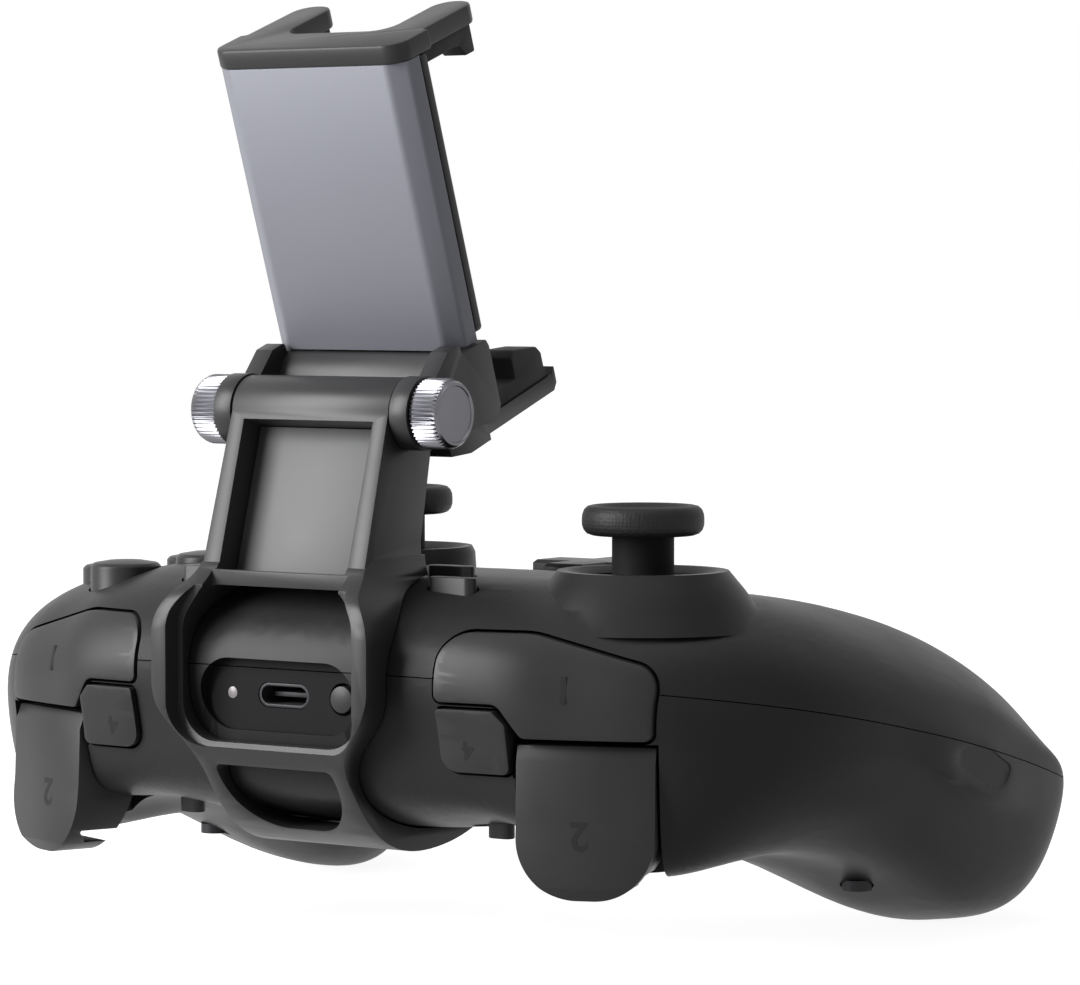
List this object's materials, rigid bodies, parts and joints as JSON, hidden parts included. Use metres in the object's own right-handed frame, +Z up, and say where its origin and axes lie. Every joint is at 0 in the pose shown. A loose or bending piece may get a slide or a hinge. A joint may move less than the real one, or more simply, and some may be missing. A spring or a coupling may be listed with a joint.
{
  "type": "mobile game controller",
  "caption": "Gamepad with thumb sticks, direction pad, face and shoulder controls, and a clip-on bracket whose tilting sprung jaws hold a phone above it",
  "frame": {"origin": "on the surface below the grips, at the middle of the part's footprint", "axes": "+X to the player's right, +Y away from the player to the shoulder side, +Z up"},
  "size_m": [0.1568, 0.117, 0.143],
  "materials": {
    "shell_plastic": "fine moulded grain",
    "control_plastic": "smooth satin",
    "bracket_plastic": "satin moulded",
    "pad_rubber": "matt",
    "plate_aluminium": "anodised, fine blasted",
    "knob_aluminium": "turned, knurled rim",
    "steel": "bright",
    "inner_plastic": "plain moulded",
    "board_laminate": "green lacquer",
    "battery_wrap": "foil wrap",
    "light_plastic": "clear, unlit"
  },
  "bodies": {
    "gamepad": {"upper_shell": "shell_plastic", "lower_shell": "shell_plastic", "clip_bracket": "bracket_plastic", "arm_panel": "bracket_plastic", "hinge_bolt": "steel", "friction_washers": "steel", "right_trigger_pin": "steel", "left_trigger_pin": "steel", "right_trigger_spring": "steel", "left_trigger_spring": "steel", "left_stick_housing": "inner_plastic", "right_stick_housing": "inner_plastic", "button_membrane": "pad_rubber", "direction_pad_post": "inner_plastic", "main_board": "board_laminate", "battery": "battery_wrap", "right_vibration_motor": "steel", "left_vibration_motor": "steel", "shell_screws": "steel", "charging_port": "steel", "status_light": "light_plastic"},
    "right_bumper": {"right_bumper": "control_plastic"},
    "right_rear_button": {"right_rear_button": "control_plastic"},
    "right_trigger": {"right_trigger": "control_plastic"},
    "right_trigger_stop": {"right_trigger_stop": "control_plastic"},
    "right_hinge_knob": {"right_hinge_knob": "knob_aluminium"},
    "right_front_pill_button": {"right_front_pill_button": "control_plastic"},
    "right_back_pill_button": {"right_back_pill_button": "control_plastic"},
    "left_bumper": {"left_bumper": "control_plastic"},
    "left_rear_button": {"left_rear_button": "control_plastic"},
    "left_trigger": {"left_trigger": "control_plastic"},
    "left_trigger_stop": {"left_trigger_stop": "control_plastic"},
    "left_hinge_knob": {"left_hinge_knob": "knob_aluminium"},
    "left_front_pill_button": {"left_front_pill_button": "control_plastic"},
    "left_back_pill_button": {"left_back_pill_button": "control_plastic"},
    "left_stick_carrier": {"left_stick_carrier": "inner_plastic"},
    "left_stick_yoke": {"left_stick_yoke": "inner_plastic"},
    "left_stick": {"left_stick": "control_plastic", "left_stick_cap": "pad_rubber"},
    "right_stick_carrier": {"right_stick_carrier": "inner_plastic"},
    "right_stick_yoke": {"right_stick_yoke": "inner_plastic"},
    "right_stick": {"right_stick": "control_plastic", "right_stick_cap": "pad_rubber"},
    "north_face_button": {"north_face_button": "control_plastic"},
    "east_face_button": {"east_face_button": "control_plastic"},
    "south_face_button": {"south_face_button": "control_plastic"},
    "west_face_button": {"west_face_button": "control_plastic"},
    "direction_pad_gimbal": {"direction_pad_gimbal": "inner_plastic"},
    "direction_pad": {"direction_pad": "control_plastic"},
    "pair_button": {"pair_button": "control_plastic"},
    "phone_holder": {"holder_base": "bracket_plastic", "guide_rods": "steel", "return_springs": "steel", "lower_jaw_pads": "pad_rubber"},
    "upper_slide": {"slide_plate": "plate_aluminium", "plate_cover": "bracket_plastic", "rest_pad": "pad_rubber", "upper_jaw": "bracket_plastic", "upper_jaw_pads": "pad_rubber"}
  },
  "joints": [
    {"name": "right_bumper_press", "type": "slide", "parent": "gamepad", "child": "right_bumper", "axis": [0, -1, 0], "range_m": [0, 0.0008], "stiffness_N_per_m": 600, "springref_m": -0.00048},
    {"name": "right_rear_button_press", "type": "slide", "parent": "gamepad", "child": "right_rear_button", "axis": [0, -1, 0], "range_m": [0, 0.0008], "stiffness_N_per_m": 600, "springref_m": -0.00048},
    {"name": "right_trigger_pull", "type": "hinge", "parent": "gamepad", "child": "right_trigger", "pos_m": [0.04754, 0.04002, 0.03], "axis": [-0.9336, 0.3584, 0], "range_deg": [0, 16], "stiffness_Nm_per_rad": 0.08, "springref_deg": -8.59},
    {"name": "right_trigger_stop_slide", "type": "slide", "parent": "gamepad", "child": "right_trigger_stop", "axis": [-1, 0, 0], "range_m": [0, 0.0024]},
    {"name": "right_knob_turn", "type": "hinge", "parent": "gamepad", "child": "right_hinge_knob", "pos_m": [0.02, 0.0403, 0.0815], "axis": [1, 0, 0], "continuous": true},
    {"name": "right_front_pill_press", "type": "slide", "parent": "gamepad", "child": "right_front_pill_button", "axis": [0, 0, -1], "range_m": [0, 0.0005], "stiffness_N_per_m": 400, "springref_m": -0.0003},
    {"name": "right_back_pill_press", "type": "slide", "parent": "gamepad", "child": "right_back_pill_button", "axis": [0, 0, -1], "range_m": [0, 0.0005], "stiffness_N_per_m": 400, "springref_m": -0.0003},
    {"name": "left_bumper_press", "type": "slide", "parent": "gamepad", "child": "left_bumper", "axis": [0, -1, 0], "range_m": [0, 0.0008], "stiffness_N_per_m": 600, "springref_m": -0.00048},
    {"name": "left_rear_button_press", "type": "slide", "parent": "gamepad", "child": "left_rear_button", "axis": [0, -1, 0], "range_m": [0, 0.0008], "stiffness_N_per_m": 600, "springref_m": -0.00048},
    {"name": "left_trigger_pull", "type": "hinge", "parent": "gamepad", "child": "left_trigger", "pos_m": [-0.04754, 0.04002, 0.03], "axis": [-0.9336, -0.3584, 0], "range_deg": [0, 16], "stiffness_Nm_per_rad": 0.08, "springref_deg": -8.59},
    {"name": "left_trigger_stop_slide", "type": "slide", "parent": "gamepad", "child": "left_trigger_stop", "axis": [1, 0, 0], "range_m": [0, 0.0024]},
    {"name": "left_knob_turn", "type": "hinge", "parent": "gamepad", "child": "left_hinge_knob", "pos_m": [-0.02, 0.0403, 0.0815], "axis": [1, 0, 0], "continuous": true},
    {"name": "left_front_pill_press", "type": "slide", "parent": "gamepad", "child": "left_front_pill_button", "axis": [0, 0, -1], "range_m": [0, 0.0005], "stiffness_N_per_m": 400, "springref_m": -0.0003},
    {"name": "left_back_pill_press", "type": "slide", "parent": "gamepad", "child": "left_back_pill_button", "axis": [0, 0, -1], "range_m": [0, 0.0005], "stiffness_N_per_m": 400, "springref_m": -0.0003},
    {"name": "left_stick_click", "type": "slide", "parent": "gamepad", "child": "left_stick_carrier", "axis": [0, 0, -1], "range_m": [0, 0.0005], "stiffness_N_per_m": 1500, "springref_m": -0.0003},
    {"name": "left_stick_fore_aft", "type": "hinge", "parent": "left_stick_carrier", "child": "left_stick_yoke", "pos_m": [-0.0452, 0.024, 0.046], "axis": [1, 0, 0], "range_deg": [-14, 14], "stiffness_Nm_per_rad": 0.03},
    {"name": "left_stick_side", "type": "hinge", "parent": "left_stick_yoke", "child": "left_stick", "pos_m": [-0.0452, 0.024, 0.046], "axis": [0, 1, 0], "range_deg": [-14, 14], "stiffness_Nm_per_rad": 0.03},
    {"name": "right_stick_click", "type": "slide", "parent": "gamepad", "child": "right_stick_carrier", "axis": [0, 0, -1], "range_m": [0, 0.0005], "stiffness_N_per_m": 1500, "springref_m": -0.0003},
    {"name": "right_stick_fore_aft", "type": "hinge", "parent": "right_stick_carrier", "child": "right_stick_yoke", "pos_m": [0.0195, -0.0033, 0.046], "axis": [1, 0, 0], "range_deg": [-14, 14], "stiffness_Nm_per_rad": 0.03},
    {"name": "right_stick_side", "type": "hinge", "parent": "right_stick_yoke", "child": "right_stick", "pos_m": [0.0195, -0.0033, 0.046], "axis": [0, 1, 0], "range_deg": [-14, 14], "stiffness_Nm_per_rad": 0.03},
    {"name": "north_button_press", "type": "slide", "parent": "gamepad", "child": "north_face_button", "axis": [0, 0, -1], "range_m": [0, 0.0012], "stiffness_N_per_m": 500, "springref_m": -0.00072},
    {"name": "east_button_press", "type": "slide", "parent": "gamepad", "child": "east_face_button", "axis": [0, 0, -1], "range_m": [0, 0.0012], "stiffness_N_per_m": 500, "springref_m": -0.00072},
    {"name": "south_button_press", "type": "slide", "parent": "gamepad", "child": "south_face_button", "axis": [0, 0, -1], "range_m": [0, 0.0012], "stiffness_N_per_m": 500, "springref_m": -0.00072},
    {"name": "west_button_press", "type": "slide", "parent": "gamepad", "child": "west_face_button", "axis": [0, 0, -1], "range_m": [0, 0.0012], "stiffness_N_per_m": 500, "springref_m": -0.00072},
    {"name": "direction_pad_fore_aft", "type": "hinge", "parent": "gamepad", "child": "direction_pad_gimbal", "pos_m": [-0.0195, -0.0033, 0.0516], "axis": [1, 0, 0], "range_deg": [-4, 4], "stiffness_Nm_per_rad": 0.06},
    {"name": "direction_pad_side", "type": "hinge", "parent": "direction_pad_gimbal", "child": "direction_pad", "pos_m": [-0.0195, -0.0033, 0.0516], "axis": [0, 1, 0], "range_deg": [-4, 4], "stiffness_Nm_per_rad": 0.06},
    {"name": "pair_button_press", "type": "slide", "parent": "gamepad", "child": "pair_button", "axis": [0, -1, 0], "range_m": [0, 0.0005], "stiffness_N_per_m": 400, "springref_m": -0.0003},
    {"name": "holder_tilt", "type": "hinge", "parent": "gamepad", "child": "phone_holder", "pos_m": [0, 0.0403, 0.0815], "axis": [1, 0, 0], "range_deg": [-70, 15]},
    {"name": "jaw_slide", "type": "slide", "parent": "phone_holder", "child": "upper_slide", "axis": [0, 0.3338, 0.9426], "range_m": [0, 0.028], "stiffness_N_per_m": 60, "springref_m": -0.05}
  ]
}
